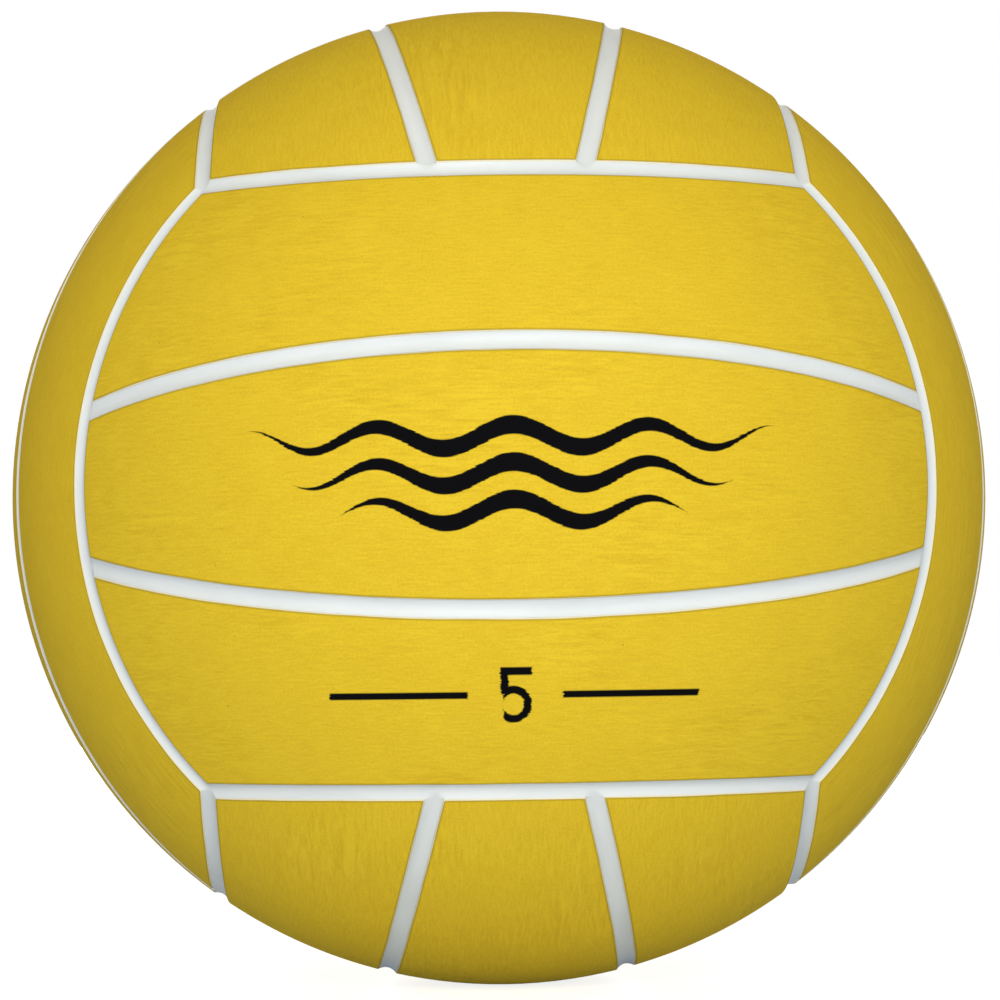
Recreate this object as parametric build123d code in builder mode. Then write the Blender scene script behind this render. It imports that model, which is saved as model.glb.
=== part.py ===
from build123d import *
import os
from math import acos, asin, cos, degrees, radians, sin, sqrt

# Water polo ball of size 5: eighteen rubber cover panels on a wound carcass, with white strips in
# the seams and a needle valve. Millimetres and degrees. The origin is the centre of the ball, +Z is
# up, -Y is the front, and the valve is at the lowest point, on the -Z axis.

# Wall of the ball, from the outside in
ball_diameter = 220.0
cover_thickness = 1.2
carcass_thickness = 0.5
winding_thickness = 0.4
bladder_thickness = 0.6
bond_line = 0.05  # film of adhesive between neighbouring pieces

# Seams between the panels
seam_width = 3.6  # from the wall of one panel to the wall of the next
seam_edge_depth = 0.3  # from the ball's surface down to the edges of a strip
seam_floor_depth = 0.7  # from the ball's surface down to the middle of a strip
seam_floor_width = 1.4  # the flat middle of a strip, between its sloping shoulders
panel_lip_radius = 0.4
inner_seam_angle = 14.1  # from the middle of a face to each of its two inner seams

# Valve plug, the soft insert that the pump needle goes through
head_diameter = 9.0
head_recess = 0.3  # from the ball's surface down to the face of the head
head_clearance = 0.2  # all round, in the hole of the cover
head_edge_radius = 0.25
shank_diameter = 6.9
shank_length = 17.0
shank_tip_radius = 0.8
needle_diameter = 2.0
needle_depth = 14.0  # from the face of the head down to the closed lip
needle_mouth_diameter = 3.8
slit_length = 2.0
slit_width = 0.2

# Valve boot, the housing that is cured into the bladder
shank_clearance = 0.05  # all round, between the shank and the bore
seat_gap = 0.05  # between the head and the rim of the neck
neck_diameter = 13.0
flange_diameter = 34.0
flange_thickness = 1.4
flange_rim_thickness = 0.6
stem_diameter = 11.0
shank_end_gap = 0.6  # between the tip of the shank and the stop
stop_thickness = 1.5
stop_opening_diameter = 4.0

# Radii that follow from the wall
ball_radius = ball_diameter / 2
cover_inner_radius = ball_radius - cover_thickness
carcass_outer_radius = cover_inner_radius - bond_line
carcass_inner_radius = carcass_outer_radius - carcass_thickness
winding_outer_radius = carcass_inner_radius - bond_line
winding_inner_radius = winding_outer_radius - winding_thickness
bladder_outer_radius = winding_inner_radius - bond_line
bladder_inner_radius = bladder_outer_radius - bladder_thickness
flange_outer_radius = bladder_inner_radius - bond_line

# Three seams meet at each of eight corners, which lie in the directions of a cube's corners. Seen
# from the middle of a face, its ends lie on a circle about the normal, and its sides on two circles
# of latitude about the stack axis, all through those corners.
end_angle = degrees(acos(1 / sqrt(3)))
side_latitude = 90 - end_angle
mitre_angle = 90 - 360 / 3 / 2  # three strips share a corner evenly

# Six faces of three panels each: the outward normal, the way that the panels run, and the faces
# next to the low and the high side of the stack
faces = {
    "front": ((0, -1, 0), (1, 0, 0), ("bottom", "top")),
    "back": ((0, 1, 0), (-1, 0, 0), ("bottom", "top")),
    "top": ((0, 0, 1), (0, -1, 0), ("left", "right")),
    "bottom": ((0, 0, -1), (0, 1, 0), ("left", "right")),
    "left": ((-1, 0, 0), (0, 0, 1), ("front", "back")),
    "right": ((1, 0, 0), (0, 0, -1), ("front", "back")),
}
valve_face = "bottom"
rows = (-1, 0, 1)
sides = (-1, 1)
centre = (0, 0, 0)

os.makedirs("parts", exist_ok=True)


def finish(builder, name):
    """Names a piece, writes it out and prints its volume."""
    builder.part.label = name
    export_step(builder.part, f"parts/{name}.step")
    print(f"{name}: {builder.part.volume / 1000:.3f} cm3")


def face_plane(face):
    """The plane of a face through the ball's centre: x along the run, y along the stack, z outwards."""
    normal, run, neighbours = faces[face]
    return Plane(origin=centre, x_dir=run, z_dir=normal)


def section_plane(plane):
    """The cross-section of a face: x along the stack, y outwards."""
    return Plane(origin=centre, x_dir=plane.y_dir, z_dir=plane.x_dir)


def turned(plane, direction, angle):
    """A plane turned about a line through the ball's centre."""
    axis = Axis(centre, direction)
    return Plane(
        origin=centre, x_dir=plane.x_dir.rotate(axis, angle), z_dir=plane.z_dir.rotate(axis, angle)
    )


def polar(radius, angle):
    """A point of a cross-section, by its distance from the centre and its angle from the y axis."""
    return (radius * sin(radians(angle)), radius * cos(radians(angle)))


def trim_ends(plane):
    """Keeps what lies inside the end seams of a face: a cone about the normal, clear of the seams."""
    half_seam = seam_width / 2
    tip = half_seam / sin(radians(end_angle))
    rim_x, rim_y = polar(ball_diameter, end_angle)
    with BuildSketch(section_plane(plane)) as cone_section:
        with BuildLine():
            Polyline((0, tip), (rim_x, rim_y + tip), (0, rim_y + tip), close=True)
        make_face()
    revolve(cone_section.sketch, axis=Axis(centre, plane.z_dir), mode=Mode.INTERSECT)


def cover_panel(face, row):
    """A panel of the cover: rows -1 and 1 are the outer two of a face, and 0 is the middle one."""
    plane = face_plane(face)
    built_row = -abs(row)  # the outer two are mirror images, so row 1 is built as row -1
    outer_end = side_latitude - degrees(asin(seam_width / 2 / ball_radius))
    inner_end = side_latitude - degrees(asin(seam_width / 2 / cover_inner_radius))
    with BuildPart() as panel:
        with BuildSketch(turned(section_plane(plane), plane.y_dir, -90)):
            with BuildLine():
                outside = ThreePointArc(
                    polar(ball_radius, -outer_end),
                    polar(ball_radius, 0),
                    polar(ball_radius, outer_end),
                )
                inside = ThreePointArc(
                    polar(cover_inner_radius, -inner_end),
                    polar(cover_inner_radius, 0),
                    polar(cover_inner_radius, inner_end),
                )
                Line(outside @ 0, inside @ 0)
                Line(outside @ 1, inside @ 1)
            make_face()
        revolve(axis=Axis(centre, plane.y_dir), revolution_arc=180)
        trim_ends(plane)
        for side in sides:
            outwards = plane.y_dir.rotate(Axis(centre, plane.x_dir), -side * inner_seam_angle) * side
            if built_row == side:
                split(bisect_by=Plane(origin=centre, z_dir=outwards).offset(seam_width / 2))
            if row == 0:
                split(bisect_by=Plane(origin=centre, z_dir=-outwards).offset(seam_width / 2))
        if face == valve_face and row == 0:
            with Locations((0, 0, -ball_radius)):
                Cylinder(head_diameter / 2 + head_clearance, ball_radius, mode=Mode.SUBTRACT)
        skin = panel.faces().filter_by(GeomType.SPHERE).sort_by(SortBy.AREA)[-1]
        fillet(skin.edges(), panel_lip_radius)
        if row == 1:
            mirror(about=Plane(origin=centre, z_dir=plane.y_dir), mode=Mode.REPLACE)
    return panel


def strip_section(plane):
    """The cross-section of a seam strip, with its middle on the y axis: a channel on a curved base."""
    half_width = seam_width / 2 - bond_line
    base_angle = degrees(asin(half_width / cover_inner_radius))
    top_radius = ball_radius - seam_edge_depth
    top_angle = degrees(asin(half_width / top_radius))
    floor_height = ball_radius - seam_floor_depth
    with BuildSketch(plane) as section:
        with BuildLine():
            base = ThreePointArc(
                polar(cover_inner_radius, -base_angle),
                polar(cover_inner_radius, 0),
                polar(cover_inner_radius, base_angle),
            )
            Polyline(
                base @ 0,
                polar(top_radius, -top_angle),
                (-seam_floor_width / 2, floor_height),
                (seam_floor_width / 2, floor_height),
                polar(top_radius, top_angle),
                base @ 1,
            )
        make_face()
    return section.sketch


def edge_strip(face, side):
    """The strip along one side of a face, mitred at its two corners."""
    plane = face_plane(face)
    section = turned(section_plane(plane), plane.x_dir, -side * side_latitude)
    start = turned(section, plane.y_dir, -90)
    with BuildPart() as strip:
        revolve(strip_section(start), axis=Axis(centre, plane.y_dir), revolution_arc=180)
        for end in sides:
            corner = plane.x_dir * end + plane.y_dir * side + plane.z_dir
            along = plane.z_dir - plane.x_dir * end
            for cheek in sides:
                facing = along.rotate(Axis(centre, corner), cheek * mitre_angle)
                split(bisect_by=Plane(origin=centre, z_dir=facing).offset(bond_line / 2))
    return strip


def inner_strip(face, side):
    """The strip between the middle panel of a face and one of the outer two."""
    plane = face_plane(face)
    section = turned(section_plane(plane), plane.x_dir, -side * inner_seam_angle)
    start = turned(section, section.x_dir, -90)
    with BuildPart() as strip:
        revolve(strip_section(start), axis=Axis(centre, section.x_dir), revolution_arc=180)
        trim_ends(plane)
    return strip


def layer(outer_radius, inner_radius):
    """A hollow layer of the ball, with a hole for the neck of the valve boot."""
    with BuildPart() as shell:
        Sphere(outer_radius)
        Sphere(inner_radius, mode=Mode.SUBTRACT)
        with Locations((0, 0, -outer_radius)):
            Cylinder(neck_diameter / 2 + bond_line, outer_radius, mode=Mode.SUBTRACT)
    return shell


# Cover panels and seam strips
for face, (normal, run, neighbours) in faces.items():
    for row, place in zip(rows, (neighbours[0], "middle", neighbours[1])):
        finish(cover_panel(face, row), f"panel_{face}_{place}")
    for side, neighbour in zip(sides, neighbours):
        finish(edge_strip(face, side), f"edge_seam_{face}_{neighbour}")
        finish(inner_strip(face, side), f"inner_seam_{face}_{neighbour}")

# Layers under the cover
finish(layer(carcass_outer_radius, carcass_inner_radius), "carcass")
finish(layer(winding_outer_radius, winding_inner_radius), "thread_winding")
finish(layer(bladder_outer_radius, bladder_inner_radius), "bladder")

# Steps of the valve on its axis, by their distance from the ball's centre
head_face = ball_radius - head_recess
neck_rim = sqrt(cover_inner_radius**2 - (neck_diameter / 2) ** 2) - bond_line
head_seat = neck_rim + seat_gap
shank_tip = head_seat - shank_length
stop_face = shank_tip - shank_end_gap
stem_end = stop_face - stop_thickness
lip_face = head_face - needle_depth
valve_plane = face_plane(valve_face)

# Valve boot: a neck through the layers, a dished flange inside the bladder, and a bored stem
bore_radius = shank_diameter / 2 + shank_clearance
neck_angle = degrees(asin(neck_diameter / 2 / flange_outer_radius))
flange_angle = degrees(asin(flange_diameter / 2 / flange_outer_radius))
root_radius = flange_outer_radius - flange_thickness
root_angle = degrees(asin(stem_diameter / 2 / root_radius))
with BuildPart() as valve_boot:
    with BuildSketch(section_plane(valve_plane)):
        with BuildLine():
            dish = ThreePointArc(
                polar(flange_outer_radius, neck_angle),
                polar(flange_outer_radius, (neck_angle + flange_angle) / 2),
                polar(flange_outer_radius, flange_angle),
            )
            Polyline(
                dish @ 1,
                polar(flange_outer_radius - flange_rim_thickness, flange_angle),
                polar(root_radius, root_angle),
                (stem_diameter / 2, stem_end),
                (stop_opening_diameter / 2, stem_end),
                (stop_opening_diameter / 2, stop_face),
                (bore_radius, stop_face),
                (bore_radius, neck_rim),
                (neck_diameter / 2, neck_rim),
                dish @ 0,
            )
        make_face()
    revolve(axis=Axis.Z)
finish(valve_boot, "valve_boot")

# Valve plug: a head in the hole of the cover, and a shank with a needle channel behind a slit lip
with BuildPart() as valve_plug:
    with BuildSketch(valve_plane.offset(shank_tip)):
        Circle(shank_diameter / 2)
    extrude(amount=shank_length)
    fillet(valve_plug.edges().group_by(Axis.Z)[-1], shank_tip_radius)
    with BuildSketch(valve_plane.offset(head_seat)):
        Circle(head_diameter / 2)
    extrude(amount=head_face - head_seat)
    fillet(valve_plug.edges().group_by(Axis.Z)[0], head_edge_radius)
    with Locations(valve_plane.offset(head_face)):
        CounterSinkHole(needle_diameter / 2, needle_mouth_diameter / 2, needle_depth, 90)
    with BuildSketch(valve_plane.offset(shank_tip)):
        Rectangle(slit_length, slit_width)
    extrude(amount=lip_face - shank_tip, mode=Mode.SUBTRACT)
finish(valve_plug, "valve_plug")
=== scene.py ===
# %% [markdown]
# # Dressing a water polo ball
#
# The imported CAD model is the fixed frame: it holds every piece of the ball at its real size and place.
# This lesson dresses it. The eighteen rubber panels and the white seam strips are modelled again with
# Blender's own tools, because a soft moulded lip and a hollow seam need more faces than a CAD export has.
# What hides inside the ball keeps its CAD mesh and only gets a better finish.

# %% Load the frame
import math

import bmesh
import bpy
from mathutils import Matrix, Vector


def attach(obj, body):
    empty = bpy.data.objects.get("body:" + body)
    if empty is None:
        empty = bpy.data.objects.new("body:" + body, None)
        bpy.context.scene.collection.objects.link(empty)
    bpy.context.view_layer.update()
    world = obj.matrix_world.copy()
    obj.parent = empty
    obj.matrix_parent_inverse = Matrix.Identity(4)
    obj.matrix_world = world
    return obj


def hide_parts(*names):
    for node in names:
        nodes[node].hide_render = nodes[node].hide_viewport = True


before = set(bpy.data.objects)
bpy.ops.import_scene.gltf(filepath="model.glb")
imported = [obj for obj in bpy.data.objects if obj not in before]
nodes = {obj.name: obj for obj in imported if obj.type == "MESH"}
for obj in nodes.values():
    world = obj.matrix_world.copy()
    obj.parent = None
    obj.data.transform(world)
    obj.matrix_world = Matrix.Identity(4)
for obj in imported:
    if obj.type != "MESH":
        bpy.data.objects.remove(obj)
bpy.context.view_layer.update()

scene = bpy.context.scene
scene.view_settings.view_transform = "Standard"

# %% [markdown]
# ## Sizes
#
# A real ball of this size is about 220 mm across, with a cover a little over a millimetre thick. The seams
# are hollows of about 3.6 mm between the panels. The driving sizes are those of the CAD model, in metres,
# and everything else is worked out from them. Only the hollow is a little deeper and the lip a little wider
# than in the CAD model, because here they have the faces to stay round.

# %% Driving sizes
mm = 0.001
ball_radius = 110 * mm
cover_thickness = 1.2 * mm
seam_width = 3.6 * mm
seam_edge_depth = 0.25 * mm
seam_floor_depth = 0.9 * mm
panel_lip_width = 0.45 * mm
inner_seam_angle = math.radians(14.1)
valve_hole_radius = 4.7 * mm

# The seams between the faces lie on six circles that meet by threes at the corners of a cube.
end_angle = math.acos(1 / math.sqrt(3))
side_angle = math.pi / 2 - end_angle
half_seam_angle = math.asin(seam_width / 2 / ball_radius)
end_height = ball_radius * math.cos(end_angle - half_seam_angle)
side_reach = ball_radius * math.sin(side_angle - half_seam_angle)
print(f"end circle at {end_height / mm:.2f} mm, long sides at {side_reach / mm:.2f} mm from the middle")

# %% [markdown]
# ## The bench
#
# The ball has six faces of three parallel panels, laid so that the panels of neighbouring faces run across
# each other. One face is modelled on the bench, with its panels running along X, stacked along Y and facing
# up Z, and is then copied to the six places by turning it about the ball's centre. A copy has a mesh of its
# own, and the turn is applied, so that each finished object sits at the origin.

# %% Where the six faces are
# Each face has the way it looks, the way its panels run, and its neighbours at the low and the high end of
# its stack.
faces = {
    "front": (Vector((0, -1, 0)), Vector((1, 0, 0)), ("bottom", "top")),
    "back": (Vector((0, 1, 0)), Vector((-1, 0, 0)), ("bottom", "top")),
    "top": (Vector((0, 0, 1)), Vector((0, -1, 0)), ("left", "right")),
    "bottom": (Vector((0, 0, -1)), Vector((0, 1, 0)), ("left", "right")),
    "left": (Vector((-1, 0, 0)), Vector((0, 0, 1)), ("front", "back")),
    "right": (Vector((1, 0, 0)), Vector((0, 0, -1)), ("front", "back")),
}
run, stack, facing = Vector((1, 0, 0)), Vector((0, 1, 0)), Vector((0, 0, 1))
half_turn = Matrix.Rotation(math.pi, 4, "Z")
print(len(faces), "faces of three panels each")


def face_turn(face):
    """The turn that takes a piece from the bench to its face."""
    normal, along, _ = faces[face]
    return Matrix((along, normal.cross(along), normal)).transposed().to_4x4()


# %% Picking and copying
def pick(piece):
    """Make this piece the only one that the next operators act on."""
    bpy.ops.object.select_all(action="DESELECT")
    piece.select_set(True)
    bpy.context.view_layer.objects.active = piece


def copy_to(piece, name, turn):
    """A copy with a mesh of its own, turned from the bench to its place."""
    pick(piece)
    bpy.ops.object.duplicate()
    copy = bpy.context.object
    copy.name = copy.data.name = name
    copy.matrix_world = turn
    bpy.ops.object.transform_apply(location=False, rotation=True, scale=False)
    return copy


def remove(*pieces):
    """Take bench models away once their copies are in place."""
    for piece in pieces:
        bpy.data.meshes.remove(piece.data)


# %% [markdown]
# ## A pencil point
#
# Both the panels and the seam strips start as one vertex that is walked along a line. A plane whose corners
# are merged gives that vertex, extruding it draws straight lines, and spinning it about an axis through the
# ball's centre draws an exact arc on the ball.

# %% Drawing with one vertex
def start_point(name, place):
    """A mesh of a single vertex, left in edit mode with the vertex selected."""
    bpy.ops.object.select_all(action="DESELECT")
    bpy.ops.mesh.primitive_plane_add(size=mm, location=(0, 0, 0))
    piece = bpy.context.object
    piece.name = piece.data.name = name
    bpy.ops.object.mode_set(mode="EDIT")
    bpy.ops.mesh.merge(type="CENTER")
    bpy.ops.transform.translate(value=place)
    return piece


def spin_to(start, target, axis, steps):
    """Spin what is selected about an axis through the centre, from start round to target."""
    across_start = start - axis * start.dot(axis)
    across_target = target - axis * target.dot(axis)
    angle = math.atan2(axis.dot(across_start.cross(across_target)), across_start.dot(across_target))
    # The operator counts clockwise turns as positive.
    bpy.ops.mesh.spin(steps=steps, angle=-angle, center=(0, 0, 0), axis=axis)


def select_vertices(piece, wanted):
    """Select the vertices that pass the test, with the edges and faces between them, and count them."""
    bpy.ops.mesh.select_all(action="DESELECT")
    bpy.ops.mesh.select_mode(type="VERT")
    mesh = bmesh.from_edit_mesh(piece.data)
    chosen = [vertex for vertex in mesh.verts if wanted(vertex.co)]
    for vertex in chosen:
        vertex.select = True
    mesh.select_flush(True)
    bmesh.update_edit_mesh(piece.data)
    return len(chosen)


# %% [markdown]
# ## Panels
#
# Each panel is a strip of rubber with four edges: two long walls along the seams beside it, and two ends on
# the circle round its face. Every edge is an arc of a plane through the ball, so the outline is walked by
# four spins. Grid Fill then lays even rows of faces inside it, and Cast pushes them onto the sphere. A flat
# grid that is bent afterwards would not meet the seams so exactly. Rows are cut close to the rim, Solidify
# gives the thickness, and a bevel rolls the outer rim over into the seam.

# %% The walls of the panels
# A wall is a plane: its normal points out of the panel, and the offset is its distance from the centre.
tilted = Matrix.Rotation(-inner_seam_angle, 3, "X") @ stack
tilted_back = Matrix.Rotation(inner_seam_angle, 3, "X") @ -stack
panel_walls = {
    "middle": ((tilted_back, -seam_width / 2), (tilted, -seam_width / 2)),
    "outer": ((-tilted, -seam_width / 2), (stack, side_reach)),
}


def corner(wall, way):
    """Where a long wall meets the end circle, at the low (-1) or the high (+1) end of the run."""
    normal, offset = wall
    y = (offset - normal.z * end_height) / normal.y
    x = way * math.sqrt(ball_radius**2 - y**2 - end_height**2)
    return Vector((x, y, end_height))


# %% Fill an outline with a grid
panel_step = 2 * mm


def fill_outline(panel, first_corner, row_counts):
    """Lay a grid inside the outline, with its rows counted from the first corner."""
    for rows in row_counts:
        bpy.ops.mesh.select_all(action="SELECT")
        mesh = bmesh.from_edit_mesh(panel.data)
        first = min(mesh.verts, key=lambda vertex: (vertex.co - first_corner).length)
        mesh.select_history.clear()
        mesh.select_history.add(first)
        bpy.ops.mesh.fill_grid(span=rows, offset=0)
        mesh = bmesh.from_edit_mesh(panel.data)
        if max(edge.calc_length() for edge in mesh.edges) < 2 * panel_step:
            return
        # The operator may go round the outline either way. The wrong way leaves long edges, and is undone.
        bpy.ops.mesh.select_all(action="DESELECT")
        for vertex in mesh.verts:
            vertex.select = not vertex.is_boundary
        bpy.ops.mesh.delete(type="VERT")


# %% Round the grid, and add rows along its rim
rim_rows = (0.6 * mm, 1.2 * mm)
cut_slack = 0.001 * mm  # a cut this close to a vertex goes through it


def push_to_sphere(panel):
    """Move every vertex straight out or in until it lies on the ball."""
    bpy.ops.object.mode_set(mode="OBJECT")
    rounding = panel.modifiers.new("rounding", "CAST")
    rounding.factor = 1
    rounding.radius = 0
    rounding.use_radius_as_size = False
    rounding.size = ball_radius
    bpy.ops.object.modifier_apply(modifier="rounding")


def add_rim_rows(panel, walls):
    """Cut rows of edges close inside the rim, so that a colour that changes there changes evenly."""
    bpy.ops.object.mode_set(mode="EDIT")
    for normal, offset in ((-facing, -end_height), *walls):
        leaning = math.sqrt(1 - (offset / ball_radius) ** 2)
        for row in rim_rows:
            bpy.ops.mesh.select_all(action="SELECT")
            bpy.ops.mesh.bisect(
                plane_co=normal * (offset - row * leaning), plane_no=normal, threshold=cut_slack
            )


# %% One panel from four arcs
same_place = 0.01 * mm  # points this close count as one


def model_panel(name, walls):
    """The outside skin of a panel: an outline of four arcs, filled with a grid and pushed to the sphere."""
    low, high = walls
    turns = [corner(low, -1), corner(low, +1), corner(high, +1), corner(high, -1)]
    axes = [low[0], facing, high[0], facing]
    long_steps = round((turns[1] - turns[0]).length / panel_step)
    end_steps = round((turns[2] - turns[1]).length / panel_step)
    panel = start_point(name, turns[0])
    for leg, axis in enumerate(axes):
        spin_to(turns[leg], turns[(leg + 1) % 4], axis, (long_steps, end_steps)[leg % 2])
    bpy.ops.mesh.select_all(action="SELECT")
    bpy.ops.mesh.remove_doubles(threshold=same_place)
    fill_outline(panel, turns[0], (long_steps, end_steps))
    push_to_sphere(panel)
    add_rim_rows(panel, walls)
    push_to_sphere(panel)
    if panel.data.polygons[0].normal.dot(panel.data.polygons[0].center) < 0:
        panel.data.flip_normals()
    print(f"{name}: {len(panel.data.polygons)} faces in {long_steps} by {end_steps} rows")
    return panel


# %% Thickness and a rolled rim
lip_segments = 4
round_profile = 0.5
mid_wall_radius = ball_radius - cover_thickness / 2


def border_distance(point, walls):
    """How far a point of a panel lies from the nearest edge, measured along the surface."""
    on_skin = point.normalized() * ball_radius
    slant = math.sin(end_angle)
    gaps = [(on_skin.z - end_height) / slant]
    for normal, offset in walls:
        leaning = math.sqrt(1 - (offset / ball_radius) ** 2)
        gaps.append((offset - normal.dot(on_skin)) / leaning)
    return max(min(gaps), 0)


def thicken_panel(panel, walls):
    """Give the skin its thickness inwards, then roll its outer rim."""
    pick(panel)
    wall = panel.modifiers.new("wall", "SOLIDIFY")
    wall.thickness = cover_thickness
    wall.offset = -1
    bpy.ops.object.modifier_apply(modifier="wall")
    bpy.ops.object.mode_set(mode="EDIT")
    select_vertices(
        panel, lambda p: p.length > mid_wall_radius and border_distance(p, walls) < same_place
    )
    bpy.ops.mesh.bevel(
        offset=panel_lip_width, segments=lip_segments, profile=round_profile, clamp_overlap=True
    )
    bpy.ops.object.mode_set(mode="OBJECT")


bench_panels = {}
for place, walls in panel_walls.items():
    bench_panels[place] = model_panel("bench_panel_" + place, walls)
    thicken_panel(bench_panels[place], walls)
    print(place, "panel has", len(bench_panels[place].data.polygons), "faces with its rim")

# %% [markdown]
# ## The valve hole
#
# The bladder's valve comes out through the middle panel of the bottom face. The hole is cut with a cylinder
# and the Boolean modifier, as a punch would, and its rim gets the same small roll as the panel's edge.

# %% Punch the hole
punch_sides, punch_length = 64, 10 * mm
hole_rim_segments = 3
hole_rim_slack = 0.02 * mm


def punch_valve_hole(panel):
    """Cut a round hole through the middle of a panel and round its rim."""
    bpy.ops.object.select_all(action="DESELECT")
    bpy.ops.mesh.primitive_cylinder_add(
        vertices=punch_sides, radius=valve_hole_radius, depth=punch_length, location=(0, 0, ball_radius)
    )
    punch = bpy.context.object
    pick(panel)
    cut = panel.modifiers.new("hole", "BOOLEAN")
    cut.operation = "DIFFERENCE"
    cut.solver = "EXACT"
    cut.object = punch
    bpy.ops.object.modifier_apply(modifier="hole")
    remove(punch)
    bpy.ops.object.mode_set(mode="EDIT")
    rim = select_vertices(
        panel,
        lambda p: p.length > mid_wall_radius
        and abs(math.hypot(p.x, p.y) - valve_hole_radius) < hole_rim_slack,
    )
    bpy.ops.mesh.bevel(
        offset=panel_lip_width / 2, segments=hole_rim_segments, profile=round_profile, clamp_overlap=True
    )
    bpy.ops.object.mode_set(mode="OBJECT")
    print("valve hole cut with", rim, "rim vertices")


bench_valve_panel = copy_to(bench_panels["middle"], "bench_valve_panel", Matrix.Identity(4))
punch_valve_hole(bench_valve_panel)

# %% [markdown]
# ## A map on each panel
#
# The rubber's grain runs along each panel, and its colour changes near the edges. So every vertex stores
# where it lies: how far along the panel, how far across, and how far from the nearest edge, in millimetres.
# Materials read that as an attribute. A number for each panel makes every panel's pattern its own.

# %% Store the map, then copy the panels to the six faces
def store_map(panel, walls):
    """Write along, across and edge distance to each vertex, in millimetres."""
    panel_map = panel.data.attributes.new("panel_map", "FLOAT_VECTOR", "POINT")
    for vertex, stored in zip(panel.data.vertices, panel_map.data):
        point = vertex.co
        along = ball_radius * math.atan2(point.x, point.z)
        across = ball_radius * math.asin(point.y / point.length)
        stored.vector = Vector((along, across, border_distance(point, walls))) / mm


def number_piece(piece, number):
    """The same number on every vertex, for materials to tell pieces apart."""
    stored = piece.data.attributes.new("piece_number", "FLOAT", "POINT")
    stored.data.foreach_set("value", [float(number)] * len(piece.data.vertices))


smooth_angle = math.radians(50)
for place, panel in bench_panels.items():
    store_map(panel, panel_walls[place])
store_map(bench_valve_panel, panel_walls["middle"])
for panel in (*bench_panels.values(), bench_valve_panel):
    pick(panel)
    bpy.ops.object.shade_smooth_by_angle(angle=smooth_angle)

panels = {}
for face, (_, _, (low_side, high_side)) in faces.items():
    turn = face_turn(face)
    middle = bench_valve_panel if face == "bottom" else bench_panels["middle"]
    rows = {
        low_side: (bench_panels["outer"], turn @ half_turn),
        "middle": (middle, turn),
        high_side: (bench_panels["outer"], turn),
    }
    for row, (model, place) in rows.items():
        name = f"panel_{face}_{row}"
        panels[name] = copy_to(model, "cover_" + name, place)
        number_piece(panels[name], len(panels))
remove(*bench_panels.values(), bench_valve_panel)
print(len(panels), "panels in place")

# %% [markdown]
# ## Seam strips
#
# Between the panels lies white rubber with a hollow top, pressed in by the rib of the mould. A strip is its
# cross-section drawn with the pencil point and spun about the axis of its circle. Where a seam between two
# panels of a face runs out, its hollow carries on into the strip that crosses it and ends in a tip there.
# So the crossing strip has rings close enough together to take that tip, and its top is lowered there.

# %% The hollow section
section_parts = 12
strip_gap = 0.02 * mm
strip_half_width = seam_width / 2 - strip_gap


def hollow(across):
    """How deep the top of a strip lies at a distance from its middle line."""
    share = min(abs(across) / (seam_width / 2), 1)
    return seam_floor_depth - (seam_floor_depth - seam_edge_depth) * share**2


def strip_section(middle, sideways):
    """The closed outline of a strip: the hollow top from side to side, then the flat base."""
    points = []
    for part in range(section_parts + 1):
        across = strip_half_width * (2 * part / section_parts - 1)
        points.append((across, hollow(across)))
    points += [(strip_half_width, cover_thickness), (-strip_half_width, cover_thickness)]
    return [
        middle * math.sqrt((ball_radius - depth) ** 2 - across**2) + sideways * across
        for across, depth in points
    ]


# %% Spin a strip
strip_step = 0.7 * mm
strip_merge = 0.002 * mm


def model_strip(name, axis, middle, reach):
    """A strip spun about its axis, reaching the same angle to both sides of its middle."""
    sideways = (axis - middle * middle.dot(axis)).normalized()
    outline = [Matrix.Rotation(-reach, 3, axis) @ point for point in strip_section(middle, sideways)]
    strip = start_point(name, outline[0])
    for here, there in zip(outline, outline[1:]):
        bpy.ops.mesh.extrude_vertices_move(TRANSFORM_OT_translate={"value": there - here})
    select_vertices(
        strip, lambda p: min((p - outline[0]).length, (p - outline[-1]).length) < same_place
    )
    bpy.ops.mesh.edge_face_add()
    bpy.ops.mesh.select_all(action="SELECT")
    length = 2 * reach * ball_radius * middle.cross(axis).length
    bpy.ops.mesh.spin(steps=round(length / strip_step), angle=-2 * reach, center=(0, 0, 0), axis=axis)
    return strip


def trim(kept_way, offset=0):
    """Cut the strip with a plane, keep the side that the plane's normal points to, and close the cut."""
    bpy.ops.mesh.select_all(action="SELECT")
    bpy.ops.mesh.bisect(
        plane_co=kept_way * offset,
        plane_no=kept_way,
        clear_inner=True,
        use_fill=True,
        threshold=cut_slack,
    )


def close_strip():
    """Merge doubles, point the faces outwards and leave edit mode."""
    bpy.ops.mesh.select_all(action="SELECT")
    bpy.ops.mesh.remove_doubles(threshold=strip_merge)
    bpy.ops.mesh.normals_make_consistent(inside=False)
    bpy.ops.object.mode_set(mode="OBJECT")


# %% The strip between two faces
# Three of these strips meet at each corner, so each end is cut to a point by two mitres.
over_reach = math.radians(4)
mitre_angle = math.radians(30)
edge_middle = Vector((0, math.sin(side_angle), math.cos(side_angle)))
bench_edge = model_strip("bench_edge_strip", stack, edge_middle, math.pi / 4 + over_reach)
for end in (-1, 1):
    cube_corner = Vector((end, 1, 1)).normalized()
    towards = (facing - end * run).normalized()
    for swing in (-mitre_angle, mitre_angle):
        trim(Matrix.Rotation(swing, 3, cube_corner) @ towards)
close_strip()
print("edge strip:", len(bench_edge.data.polygons), "faces")

# %% The strip between two panels of a face
inner_middle = Vector((0, math.sin(inner_seam_angle), math.cos(inner_seam_angle)))
bench_inner = model_strip("bench_inner_strip", tilted, inner_middle, end_angle)
trim(facing, end_height + strip_gap)
close_strip()
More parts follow.
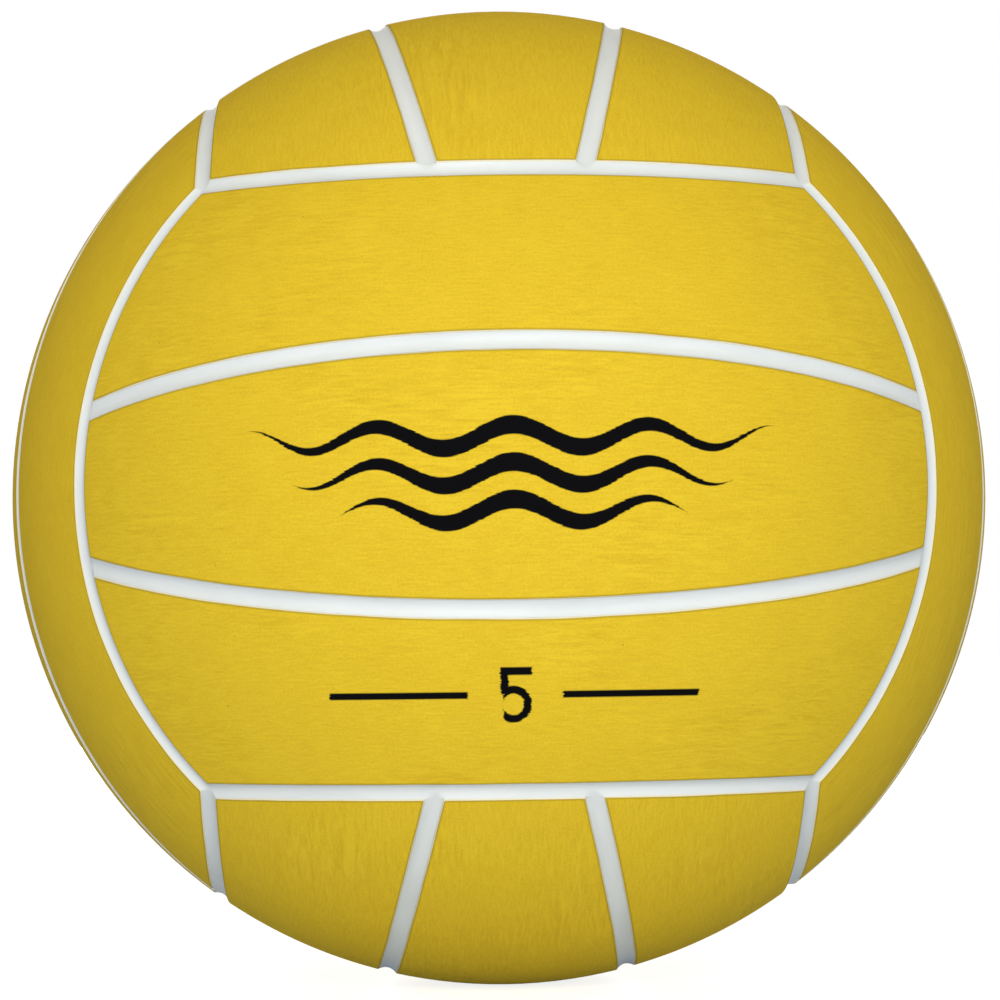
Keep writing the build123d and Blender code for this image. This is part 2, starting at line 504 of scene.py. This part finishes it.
# The plane of the cut becomes a cone from the ball's centre, so that the end lies flat against the strip
# between the faces.
for vertex in bench_inner.data.vertices:
    if abs(vertex.co.z - end_height - strip_gap) < strip_gap / 2:
        length = vertex.co.length
        height = length * (end_height + strip_gap) / ball_radius
        level = Vector((vertex.co.x, vertex.co.y, 0)).normalized()
        vertex.co = level * math.sqrt(length**2 - height**2) + facing * height
print("inner strip:", len(bench_inner.data.polygons), "faces")

# %% Let the inner seams' hollows run into the edge strip
# The strip on the bench lies between this face and the face beyond, whose panels end on it. That face looks
# along Y, its panels run along Z, and its two inner seams come in at X to both sides of the middle.
crossing_tilts = [Matrix.Rotation(way * inner_seam_angle, 3, "Z") @ run for way in (-1, 1)]
tip_reach = 0.25 * mm
top_slack = 0.05 * mm


def run_in_hollows(strip):
    """Lower the strip's top where the hollow of a crossing seam is deeper, up to its middle line."""
    lowered = 0
    for vertex in strip.data.vertices:
        point = vertex.co
        depth = ball_radius - point.length
        beyond_middle = (math.asin(point.y / point.length) - side_angle) * ball_radius
        if depth > seam_floor_depth + top_slack or beyond_middle < -tip_reach:
            continue
        crossing = max(hollow(tilt.dot(point)) for tilt in crossing_tilts)
        if crossing > depth:
            vertex.co = point.normalized() * (ball_radius - crossing)
            lowered += 1
    return lowered


print("tips of the crossing seams:", run_in_hollows(bench_edge), "vertices lowered")

# %% [markdown]
# The strips get a map too: how far along, how far from the middle line and how deep, so that their pattern
# can run along them. Then they are copied: each edge strip belongs to the side of one face, and each inner
# strip to one of the two seams inside a face.

# %% Map and copy the strips
def store_strip_map(strip, axis, middle):
    """Write along, across and depth to each vertex of a strip, in millimetres."""
    start = middle - axis * middle.dot(axis)
    strip_map = strip.data.attributes.new("panel_map", "FLOAT_VECTOR", "POINT")
    for vertex, stored in zip(strip.data.vertices, strip_map.data):
        point = vertex.co
        along = ball_radius * math.atan2(axis.dot(start.cross(point)), start.dot(point))
        across = ball_radius * (math.asin(axis.dot(point.normalized())) - math.asin(axis.dot(middle)))
        stored.vector = Vector((along, across, ball_radius - point.length)) / mm


store_strip_map(bench_edge, stack, edge_middle)
store_strip_map(bench_inner, tilted, inner_middle)
for strip in (bench_edge, bench_inner):
    pick(strip)
    bpy.ops.object.shade_smooth_by_angle(angle=smooth_angle)

strips = {}
for face, (_, _, neighbours) in faces.items():
    for neighbour, side_turn in zip(neighbours, (half_turn, Matrix.Identity(4))):
        place = face_turn(face) @ side_turn
        for kind, model in (("edge_seam", bench_edge), ("inner_seam", bench_inner)):
            name = f"{kind}_{face}_{neighbour}"
            strips[name] = copy_to(model, "strip_" + name, place)
            number_piece(strips[name], len(strips))
remove(bench_edge, bench_inner)
print(len(strips), "seam strips in place")

# %% [markdown]
# ## Materials
#
# Colours are written as sRGB hex values, as they would be read off a screen, and one function turns them
# linear. Another adds a node with its settings and links, so that a material reads from top to bottom.

# %% Colour and node helpers
def linear(hex_colour):
    """An sRGB hex colour as the linear RGBA that Blender's sockets take."""
    channels = [int(hex_colour[place:place + 2], 16) / 255 for place in (1, 3, 5)]
    return [c / 12.92 if c <= 0.04045 else ((c + 0.055) / 1.055) ** 2.4 for c in channels] + [1.0]


def add(tree, kind, inputs=None, **settings):
    """Add a node. An input is given as a value, or as the output that feeds it."""
    node = tree.nodes.new(kind)
    for name, value in settings.items():
        setattr(node, name, value)
    for socket, value in (inputs or {}).items():
        if isinstance(value, bpy.types.NodeSocket):
            tree.links.new(value, node.inputs[socket])
        else:
            node.inputs[socket].default_value = value
    return node


def new_material(name, viewport_hex):
    """An empty node material and its tree."""
    material = bpy.data.materials.new(name)
    material.use_nodes = True
    material.node_tree.nodes.clear()
    material.diffuse_color = linear(viewport_hex)
    return material, material.node_tree


def wear(pieces, material):
    """Put a material on pieces."""
    for piece in pieces:
        piece.data.materials.clear()
        piece.data.materials.append(material)


# %% [markdown]
# ### Yellow rubber
#
# The cover is moulded natural rubber, coloured through. The mould was wiped along the panels, which leaves
# a very fine lengthwise grain, a little mottling, a few dark specks, and a matte skin that grips a wet
# hand. Right at the edge the yellow stops short of the seam in a slightly uneven line. The grain is a noise
# that is stretched along the panel; it could be an image, but then it would blur up close.

# %% Where a pattern lies on its piece
number_spacing = 37.0  # from one piece's slice of a noise to the next


def place_on_piece(tree):
    """The map of a piece in millimetres, and that map moved apart for each piece, to read noise from."""
    stored = add(tree, "ShaderNodeAttribute", attribute_name="panel_map").outputs["Vector"]
    number = add(tree, "ShaderNodeAttribute", attribute_name="piece_number").outputs["Fac"]
    level = add(tree, "ShaderNodeMath", {0: number, 1: number_spacing}, operation="MULTIPLY").outputs[0]
    apart = add(tree, "ShaderNodeCombineXYZ", {2: level}).outputs[0]
    flat = add(tree, "ShaderNodeVectorMath", {0: stored, 1: (1, 1, 0)}, operation="MULTIPLY").outputs[0]
    surface = add(tree, "ShaderNodeVectorMath", {0: flat, 1: apart}, operation="ADD").outputs[0]
    return add(tree, "ShaderNodeSeparateXYZ", {0: stored}), surface


# %% Colours and patterns of the yellow rubber
yellow_hex, yellow_deep_hex = "#F1CE33", "#DDB527"
# The first colour below is painted shade, for the dark line where the rim rolls down into the seam.
painted_crease_shade_hex, bare_rim_hex, speck_hex = "#9C8420", "#F0E8C8", "#8E7A22"
ink_hex = "#0B0B0D"
# Each pattern has a length along the panel and a pitch across it, in millimetres, and the settings of its
# noise. The real grain is about 0.3 mm from crest to crest, under two pixels, so it is drawn at 0.5 mm.
grit_size = 0.5
rubber_patterns = {
    "grit": (grit_size, grit_size, {"Detail": 2.0, "Roughness": 0.6}),
    "grain": (4.0, 0.5, {"Detail": 3.0, "Roughness": 0.65, "Distortion": 0.4}),
    "mottle": (11.0, 11.0, {"Detail": 5.0, "Roughness": 0.65}),
    "wrinkle": (13.0, 1.4, {"Detail": 2.0, "Distortion": 1.2}),
    "wrinkle_patch": (32.0, 32.0, {"Detail": 1.0}),
    "rim_waver": (14.0, 14.0, {"Detail": 1.5}),
}
patch_start, patch_full, wrinkle_share = 0.45, 0.65, 1.1
mottle_share = 0.4
shade_start, shade_full, deep_share = 0.95, 1.65, 0.95
speck_spacing, speck_radius, speck_core, speck_share = 9.0, 0.22, 0.6, 0.55
# Distances from the rim in millimetres: how far it wavers, where it is bare, and where the dark line of
# painted shade fades.
rim_waver_depth = 0.3
bare_full, bare_end = 0.34, 0.46
crease_shade_full, crease_shade_end, crease_shade_share = 0.5, 0.9, 0.65
relief_strength, relief_height = 0.35, 0.06 * mm
print("patterns in the rubber:", ", ".join(rubber_patterns))


# %% Yellow rubber cover
def yellow_rubber(name, draw_ink=None):
    """Matte yellow rubber with lengthwise grain and a fine dark line of painted shade at its edge, with or
    without print.
    """
    material, tree = new_material(name, yellow_hex)
    place, surface = place_on_piece(tree)
    noise = {}
    for pattern, (length, pitch, settings) in rubber_patterns.items():
        drawn_out = add(tree, "ShaderNodeVectorMath", {
            0: surface, 1: (1 / length, 1 / pitch, 1)}, operation="MULTIPLY").outputs[0]
        noise[pattern] = add(tree, "ShaderNodeTexNoise", {
            "Vector": drawn_out, "Scale": 1.0, **settings}).outputs["Fac"]
    # Longer wrinkles show only in patches, where the wiping left them.
    patched = add(tree, "ShaderNodeMapRange", {
        "Value": noise["wrinkle_patch"], "From Min": patch_start, "From Max": patch_full,
        "To Max": wrinkle_share}).outputs[0]
    swing = add(tree, "ShaderNodeMath", {0: noise["wrinkle"], 1: 0.5}, operation="SUBTRACT").outputs[0]
    fine = add(tree, "ShaderNodeMath", {0: noise["grit"], 1: noise["grain"]}, operation="ADD").outputs[0]
    relief = add(tree, "ShaderNodeMath", {
        0: swing, 1: patched, 2: fine}, operation="MULTIPLY_ADD").outputs[0]
    shade = add(tree, "ShaderNodeMath", {
        0: noise["mottle"], 1: mottle_share, 2: relief}, operation="MULTIPLY_ADD").outputs[0]
    deep = add(tree, "ShaderNodeMapRange", {
        "Value": shade, "From Min": shade_start, "From Max": shade_full, "To Max": deep_share}).outputs[0]
    yellow = add(tree, "ShaderNodeMix", {
        "Factor": deep, 6: linear(yellow_hex), 7: linear(yellow_deep_hex)}, data_type="RGBA").outputs[2]
    # Tiny dark specks of grit lie in the rubber here and there.
    cells = add(tree, "ShaderNodeTexVoronoi", {
        "Vector": surface, "Scale": 1 / speck_spacing}).outputs["Distance"]
    speck = add(tree, "ShaderNodeMapRange", {
        "Value": cells, "From Min": speck_core * speck_radius / speck_spacing,
        "From Max": speck_radius / speck_spacing, "To Min": speck_share, "To Max": 0.0}).outputs[0]
    specked = add(tree, "ShaderNodeMix", {
        "Factor": speck, 6: yellow, 7: linear(speck_hex)}, data_type="RGBA").outputs[2]
    # The yellow stops a fraction of a millimetre before the rim, with a thin dark line of painted shade
    # along its edge, where the rim rolls down into the seam.
    rim = add(tree, "ShaderNodeMath", {
        0: noise["rim_waver"], 1: rim_waver_depth, 2: place.outputs["Z"]},
        operation="MULTIPLY_ADD").outputs[0]
    line = add(tree, "ShaderNodeMapRange", {
        "Value": rim, "From Min": crease_shade_full, "From Max": crease_shade_end,
        "To Min": crease_shade_share, "To Max": 0.0}).outputs[0]
    crease_shaded = add(tree, "ShaderNodeMix", {
        "Factor": line, 6: specked, 7: linear(painted_crease_shade_hex)}, data_type="RGBA").outputs[2]
    bare = add(tree, "ShaderNodeMapRange", {
        "Value": rim, "From Min": bare_full, "From Max": bare_end, "To Min": 1.0, "To Max": 0.0}).outputs[0]
    colour = add(tree, "ShaderNodeMix", {
        "Factor": bare, 6: crease_shaded, 7: linear(bare_rim_hex)}, data_type="RGBA").outputs[2]
    if draw_ink:
        ink = draw_ink(tree, place, noise["grain"])
        colour = add(tree, "ShaderNodeMix", {
            "Factor": ink, 6: colour, 7: linear(ink_hex)}, data_type="RGBA").outputs[2]
    bump = add(tree, "ShaderNodeBump", {
        "Height": relief, "Strength": relief_strength, "Distance": relief_height}).outputs[0]
    shader = add(tree, "ShaderNodeBsdfPrincipled", {
        "Base Color": colour, "Roughness": 0.75, "IOR": 1.5, "Specular IOR Level": 0.03, "Normal": bump})
    add(tree, "ShaderNodeOutputMaterial", {"Surface": shader.outputs[0]})
    return material


# %% [markdown]
# ### Printed ink
#
# The two panels that face the player carry a plain black print. It is stamped on the finished rubber, so it
# has no thickness to model, and the grain breaks up its ends. A shape is drawn as a distance: how far a
# point lies inside it, in millimetres. The larger of two distances joins two shapes, and the smaller one
# cuts one with the other.

# %% Edges of a print
ink_soft_edge = 0.12
ink_break = 1.8


def ragged_along(tree, place, grain):
    """The place along the panel, pushed to and fro by the grain, so that upright edges break up."""
    swing = add(tree, "ShaderNodeMath", {0: grain, 1: 0.5}, operation="SUBTRACT").outputs[0]
    return add(tree, "ShaderNodeMath", {
        0: swing, 1: ink_break, 2: place.outputs["X"]}, operation="MULTIPLY_ADD").outputs[0]


def ink_cover(tree, inside):
    """How much ink covers a point, from how far inside the shape it lies."""
    return add(tree, "ShaderNodeMapRange", {
        "Value": inside, "From Min": -ink_soft_edge, "From Max": ink_soft_edge}).outputs[0]


# %% Ripples for the middle panel
# Three rows of ripples, each shorter than the row above, that swell in the middle and run out to points.
ripple_length, ripple_swing, ripple_spacing = 27.5, 2.3, 7.4
ripple_half_width = 1.9
ripple_half_spans = (55.0, 45.0, 35.0)


def draw_ripples(tree, place, grain):
    """Rows of rippling lines across the panel."""
    along = ragged_along(tree, place, grain)
    phase = add(tree, "ShaderNodeMath", {
        0: along, 1: math.tau / ripple_length}, operation="MULTIPLY").outputs[0]
    wave = add(tree, "ShaderNodeMath", {0: phase}, operation="COSINE").outputs[0]
    rows = None
    for row, half_span in enumerate(ripple_half_spans):
        middle = add(tree, "ShaderNodeMath", {
            0: wave, 1: ripple_swing, 2: (1 - row) * ripple_spacing}, operation="MULTIPLY_ADD").outputs[0]
        off = add(tree, "ShaderNodeMath", {
            0: place.outputs["Y"], 1: middle}, operation="SUBTRACT").outputs[0]
        away = add(tree, "ShaderNodeMath", {0: off}, operation="ABSOLUTE").outputs[0]
        out = add(tree, "ShaderNodeMath", {0: along, 1: half_span}, operation="DIVIDE").outputs[0]
        fade = add(tree, "ShaderNodeMath", {0: out, 1: out}, operation="MULTIPLY").outputs[0]
        half_width = add(tree, "ShaderNodeMath", {
            0: fade, 1: -ripple_half_width, 2: ripple_half_width}, operation="MULTIPLY_ADD").outputs[0]
        inside = add(tree, "ShaderNodeMath", {0: half_width, 1: away}, operation="SUBTRACT").outputs[0]
        if rows is not None:
            inside = add(tree, "ShaderNodeMath", {0: rows, 1: inside}, operation="MAXIMUM").outputs[0]
        rows = inside
    return ink_cover(tree, rows)


# %% A size number for the panel below
# The number 5 is the size of a full-size ball. It is two bars and a bowl, between two plain rules.
# This panel is turned half round on its face, so the print's right is against the panel's run.
number_centre = 45.0
number_scale = 1.15
bar_top = (-2.8, 3.1, 3.7, 5.2)
bar_stem = (-2.8, -1.3, 0.1, 5.2)
bowl_middle, bowl_radius, bowl_half_width, bowl_cut = (-0.4, -1.8), 2.8, 0.75, -2.3
rule = (9.0, 36.0, -0.65, 0.65)


def inside_bar(tree, along, across, edges):
    """How far a point lies inside an upright bar, given by its left, right, low and high edge."""
    left, right, low, high = edges
    limits = ((along, left, -1), (along, right, 1), (across, low, -1), (across, high, 1))
    inside = None
    for axis, edge, facing_out in limits:
        gap = add(tree, "ShaderNodeMath", {
            0: axis, 1: -facing_out, 2: facing_out * edge}, operation="MULTIPLY_ADD").outputs[0]
        if inside is not None:
            gap = add(tree, "ShaderNodeMath", {0: inside, 1: gap}, operation="MINIMUM").outputs[0]
        inside = gap
    return inside


def draw_size_number(tree, place, grain):
    """A plain 5 between two rules."""
    ragged = ragged_along(tree, place, grain)
    along = add(tree, "ShaderNodeMath", {
        0: ragged, 1: -1 / number_scale}, operation="MULTIPLY").outputs[0]
    across = add(tree, "ShaderNodeMath", {
        0: place.outputs["Y"], 1: -1 / number_scale, 2: number_centre / number_scale},
        operation="MULTIPLY_ADD").outputs[0]
    point = add(tree, "ShaderNodeCombineXYZ", {0: along, 1: across}).outputs[0]
    reach = add(tree, "ShaderNodeVectorMath", {
        0: point, 1: (*bowl_middle, 0)}, operation="DISTANCE").outputs["Value"]
    off = add(tree, "ShaderNodeMath", {0: reach, 1: bowl_radius}, operation="SUBTRACT").outputs[0]
    away = add(tree, "ShaderNodeMath", {0: off}, operation="ABSOLUTE").outputs[0]
    ring = add(tree, "ShaderNodeMath", {0: bowl_half_width, 1: away}, operation="SUBTRACT").outputs[0]
    right_side = add(tree, "ShaderNodeMath", {0: along, 1: bowl_cut}, operation="SUBTRACT").outputs[0]
    print_shape = add(tree, "ShaderNodeMath", {0: ring, 1: right_side}, operation="MINIMUM").outputs[0]
    either_side = add(tree, "ShaderNodeMath", {0: along}, operation="ABSOLUTE").outputs[0]
    bars = [inside_bar(tree, along, across, bar_top), inside_bar(tree, along, across, bar_stem)]
    for bar in (*bars, inside_bar(tree, either_side, across, rule)):
        print_shape = add(tree, "ShaderNodeMath", {
            0: print_shape, 1: bar}, operation="MAXIMUM").outputs[0]
    return ink_cover(tree, print_shape)


# %% Dress the panels
printed = {"panel_front_middle": draw_ripples, "panel_front_bottom": draw_size_number}
plain_yellow = yellow_rubber("yellow_rubber_cover")
for name, panel in panels.items():
    finish = plain_yellow
    if name in printed:
        finish = yellow_rubber("yellow_rubber_" + printed[name].__name__, printed[name])
    wear([panel], finish)
print(len(panels), "panels in yellow rubber,", len(printed), "of them printed")

# %% [markdown]
# ### White seam rubber
#
# The seam strips are white rubber, smooth from the polished rib of the mould. They look almost white in
# front and a cool grey where the hollow turns away from the light, with a faint cloudiness along the strip.

# %% White seam rubber
seam_white_hex, seam_shade_hex = "#EDF1ED", "#DCE1DE"
cloud_length, cloud_width = 30.0, 5.0
stain_start, stain_full, stain_share = 0.45, 0.8, 0.7


def white_rubber(name):
    """Smooth white rubber with faint cloudy stains drawn out along the strip."""
    material, tree = new_material(name, seam_white_hex)
    _, surface = place_on_piece(tree)
    drawn_out = add(tree, "ShaderNodeVectorMath", {
        0: surface, 1: (1 / cloud_length, 1 / cloud_width, 1)}, operation="MULTIPLY").outputs[0]
    cloud = add(tree, "ShaderNodeTexNoise", {
        "Vector": drawn_out, "Scale": 1.0, "Detail": 4.0, "Roughness": 0.55}).outputs["Fac"]
    stain = add(tree, "ShaderNodeMapRange", {
        "Value": cloud, "From Min": stain_start, "From Max": stain_full, "To Max": stain_share}).outputs[0]
    colour = add(tree, "ShaderNodeMix", {
        "Factor": stain, 6: linear(seam_white_hex), 7: linear(seam_shade_hex)},
        data_type="RGBA").outputs[2]
    bump = add(tree, "ShaderNodeBump", {
        "Height": cloud, "Strength": 0.15, "Distance": 0.1 * mm}).outputs[0]
    shader = add(tree, "ShaderNodeBsdfPrincipled", {
        "Base Color": colour, "Roughness": 0.45, "IOR": 1.5, "Specular IOR Level": 0.25, "Normal": bump})
    add(tree, "ShaderNodeOutputMaterial", {"Surface": shader.outputs[0]})
    return material


wear(strips.values(), white_rubber("white_seam_rubber"))
print(len(strips), "strips in white rubber")

# %% [markdown]
# ### What lies under the cover
#
# A black butyl bladder holds the air, nylon thread is wound over it in every direction, and a tan rubber
# carcass binds the thread under the panels. The valve's boot and plug are moulded rubber too. They keep
# their CAD meshes, as little of them shows until the cover is lifted or the plug is pulled. Their patterns
# read the object's own coordinates, so they need no map.

# %% Carcass rubber and butyl rubber
bloom_start, bloom_full, bloom_share = 0.45, 0.75, 0.8
smooth_end, rough_end, roughness_swing = 0.3, 0.7, 0.08


def speckled_rubber(name, main_hex, bloom_hex, bloom_size, roughness):
    """Plain rubber with a dusty bloom in patches, sized in millimetres, and a fine moulded grit."""
    material, tree = new_material(name, main_hex)
    place = add(tree, "ShaderNodeTexCoord").outputs["Object"]
    bloom = add(tree, "ShaderNodeTexNoise", {
        "Vector": place, "Scale": 1 / (bloom_size * mm), "Detail": 5.0, "Roughness": 0.6}).outputs["Fac"]
    dusty = add(tree, "ShaderNodeMapRange", {
        "Value": bloom, "From Min": bloom_start, "From Max": bloom_full, "To Max": bloom_share}).outputs[0]
    colour = add(tree, "ShaderNodeMix", {
        "Factor": dusty, 6: linear(main_hex), 7: linear(bloom_hex)}, data_type="RGBA").outputs[2]
    rough = add(tree, "ShaderNodeMapRange", {
        "Value": bloom, "From Min": smooth_end, "From Max": rough_end,
        "To Min": roughness - roughness_swing, "To Max": roughness + roughness_swing}).outputs[0]
    grit = add(tree, "ShaderNodeTexNoise", {
        "Vector": place, "Scale": 1 / (grit_size * mm), "Detail": 2.0}).outputs["Fac"]
    bump = add(tree, "ShaderNodeBump", {
        "Height": grit, "Strength": 0.2, "Distance": 0.05 * mm}).outputs[0]
    shader = add(tree, "ShaderNodeBsdfPrincipled", {
        "Base Color": colour, "Roughness": rough, "IOR": 1.5, "Normal": bump})
    add(tree, "ShaderNodeOutputMaterial", {"Surface": shader.outputs[0]})
    return material


# %% Wound nylon thread
thread_hex, latex_hex = "#F1EEE4", "#C9BC9C"
# Real thread is about 0.3 mm thick. The windings are drawn 0.8 mm apart, so that they show.
thread_pitch = 0.8
winding_tilts = (0, 60, 120)
wave_repeat = math.tau / 20  # from crest to crest of the wave texture, at scale 1


def nylon_thread(name):
    """Pale thread wound in three directions and set in latex, which fills the gaps between turns."""
    material, tree = new_material(name, thread_hex)
    place = add(tree, "ShaderNodeTexCoord").outputs["Object"]
    turns = None
    for tilt in winding_tilts:
        turned = add(tree, "ShaderNodeMapping", {
            "Vector": place, "Rotation": (math.radians(tilt), math.radians(tilt / 2), 0)}).outputs[0]
        winding = add(tree, "ShaderNodeTexWave", {
            "Vector": turned, "Scale": wave_repeat / (thread_pitch * mm), "Distortion": 1.5}).outputs["Fac"]
        if turns is not None:
            winding = add(tree, "ShaderNodeMath", {
                0: turns, 1: winding}, operation="MAXIMUM").outputs[0]
        turns = winding
    colour = add(tree, "ShaderNodeMix", {
        "Factor": turns, 6: linear(latex_hex), 7: linear(thread_hex)}, data_type="RGBA").outputs[2]
    bump = add(tree, "ShaderNodeBump", {
        "Height": turns, "Strength": 0.5, "Distance": 0.15 * mm}).outputs[0]
    shader = add(tree, "ShaderNodeBsdfPrincipled", {
        "Base Color": colour, "Roughness": 0.65, "IOR": 1.53, "Normal": bump})
    add(tree, "ShaderNodeOutputMaterial", {"Surface": shader.outputs[0]})
    return material


# %% Finish the CAD pieces that stay
# The valve's boot is cured into the bladder, from the same rubber. The plug is softer and a bit glossier.
butyl_rubber = speckled_rubber("black_butyl_rubber", "#161616", "#2E2E2D", 14.0, 0.5)
finishes = {
    "carcass": speckled_rubber("tan_carcass_rubber", "#B99468", "#CBAE86", 9.0, 0.8),
    "thread_winding": nylon_thread("wound_nylon_thread"),
    "bladder": butyl_rubber,
    "valve_boot": butyl_rubber,
    "valve_plug": speckled_rubber("moulded_valve_rubber", "#222222", "#333330", 3.0, 0.45),
}
for name, finish in finishes.items():
    nodes[name].material_slots[0].material = finish
print(len(finishes), "CAD pieces keep their mesh with a new finish")

# %% Everything on the outside rides on the ball
for name, piece in (*panels.items(), *strips.items()):
    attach(piece, "ball")
    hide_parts(name)
print(len(panels) + len(strips), "pieces ride on the ball")

# %% [markdown]
# ## Floor, light and camera
#
# The ball rests on a plain white floor in soft studio light: an even world, a large lamp in front and a
# weaker one behind. The floor and the world are white to the camera, while the light that they throw on
# the ball stays at a plain level. A small hard lamp would put a glare on the ball, which matte rubber
# doesn't show.

# %% Floor
floor_size = 60
floor_seen_hex, floor_glow = "#EDEDED", 0.8
floor_bounce_hex = "#DAE8FD"
cool_glow_hex, cool_glow = "#0060FF", 0.07
bpy.ops.object.select_all(action="DESELECT")
bpy.ops.mesh.primitive_plane_add(size=floor_size, location=(0, 0, -ball_radius))
floor = bpy.context.object
floor.name = "floor"
floor_paint, tree = new_material("white_studio_floor", "#FFFFFF")
path = add(tree, "ShaderNodeLightPath")
seen = add(tree, "ShaderNodeAddShader", {
    0: add(tree, "ShaderNodeBsdfDiffuse", {"Color": linear(floor_seen_hex)}).outputs[0],
    1: add(tree, "ShaderNodeEmission", {"Strength": floor_glow}).outputs[0]})
# What the floor throws back onto the ball is a little cool.
cool = add(tree, "ShaderNodeEmission", {"Color": linear(cool_glow_hex), "Strength": cool_glow})
bounce = add(tree, "ShaderNodeAddShader", {
    0: add(tree, "ShaderNodeBsdfDiffuse", {"Color": linear(floor_bounce_hex)}).outputs[0],
    1: cool.outputs[0]})
upper = add(tree, "ShaderNodeMixShader", {
    0: path.outputs["Is Camera Ray"], 1: bounce.outputs[0], 2: seen.outputs[0]})
# From below the floor is clear, so that the valve under the ball can be looked at.
both = add(tree, "ShaderNodeMixShader", {
    0: add(tree, "ShaderNodeNewGeometry").outputs["Backfacing"],
    1: upper.outputs[0],
    2: add(tree, "ShaderNodeBsdfTransparent").outputs[0]})
add(tree, "ShaderNodeOutputMaterial", {"Surface": both.outputs[0]})
floor.data.materials.append(floor_paint)
print(f"floor at {-ball_radius / mm:.0f} mm, under the ball")

# %% World
world_light, world_hex = 0.315, "#FFF6E4"
world = bpy.data.worlds.new("studio")
world.use_nodes = True
scene.world = world
tree = world.node_tree
tree.nodes.clear()
path = add(tree, "ShaderNodeLightPath")
mirrored = add(tree, "ShaderNodeMath", {
    0: path.outputs["Is Glossy Ray"], 1: path.outputs["Is Transmission Ray"]}, operation="MAXIMUM")
shown = add(tree, "ShaderNodeMath", {
    0: path.outputs["Is Camera Ray"], 1: mirrored.outputs[0]}, operation="MAXIMUM")
light = add(tree, "ShaderNodeBackground", {"Color": linear(world_hex), "Strength": world_light})
backdrop = add(tree, "ShaderNodeBackground", {"Color": linear("#FFFFFF")})
sky = add(tree, "ShaderNodeMixShader", {
    0: shown.outputs[0], 1: light.outputs[0], 2: backdrop.outputs[0]})
add(tree, "ShaderNodeOutputWorld", {"Surface": sky.outputs[0]})
print("world gives light at", world_light, "and is white to the camera")

# %% Two soft lights
light_distance, light_size = 2.2, 1.2


def soft_light(name, azimuth, height, power):
    """A round lamp that looks at the ball, placed by its turn from the front and its height in degrees."""
    lift = Matrix.Rotation(math.radians(-height), 3, "X")
    swing = Matrix.Rotation(math.radians(azimuth), 3, "Z")
    place = swing @ lift @ Vector((0, -light_distance, 0))
    bpy.ops.object.light_add(type="AREA", location=place)
    lamp = bpy.context.object
    lamp.name = name
    lamp.data.shape = "DISK"
    lamp.data.size = light_size
    lamp.data.energy = power
    lamp.rotation_euler = place.to_track_quat("Z", "Y").to_euler()
    lamp.visible_camera = False
    print(f"{name}: {power} W at {height} degrees up")


soft_light("key_light", azimuth=0, height=5, power=40.0)
soft_light("back_light", azimuth=180, height=4, power=26.0)

# %% Camera
# The ball is turned a little in the photograph, so the camera is turned the other way round the ball.
nod, lean, swivel = math.radians(-2.52), math.radians(-0.75), math.radians(1.55)
ball_turn = (
    Matrix.Rotation(nod, 3, "X") @ Matrix.Rotation(lean, 3, "Y") @ Matrix.Rotation(swivel, 3, "Z")
)
camera_distance = 7.338 * ball_radius
bpy.ops.object.camera_add()
camera = bpy.context.object
camera.data.lens = 127.3
camera.data.sensor_width = 36
camera.data.shift_x, camera.data.shift_y = 0.0011, -0.0021
level = Matrix.Rotation(math.pi / 2, 3, "X")
turn_back = ball_turn.transposed()
camera_place = turn_back @ Vector((0, -camera_distance, 0))
camera.matrix_world = Matrix.Translation(camera_place) @ (turn_back @ level).to_4x4()
scene.camera = camera
print("camera at", [round(c, 3) for c in camera.matrix_world.translation])
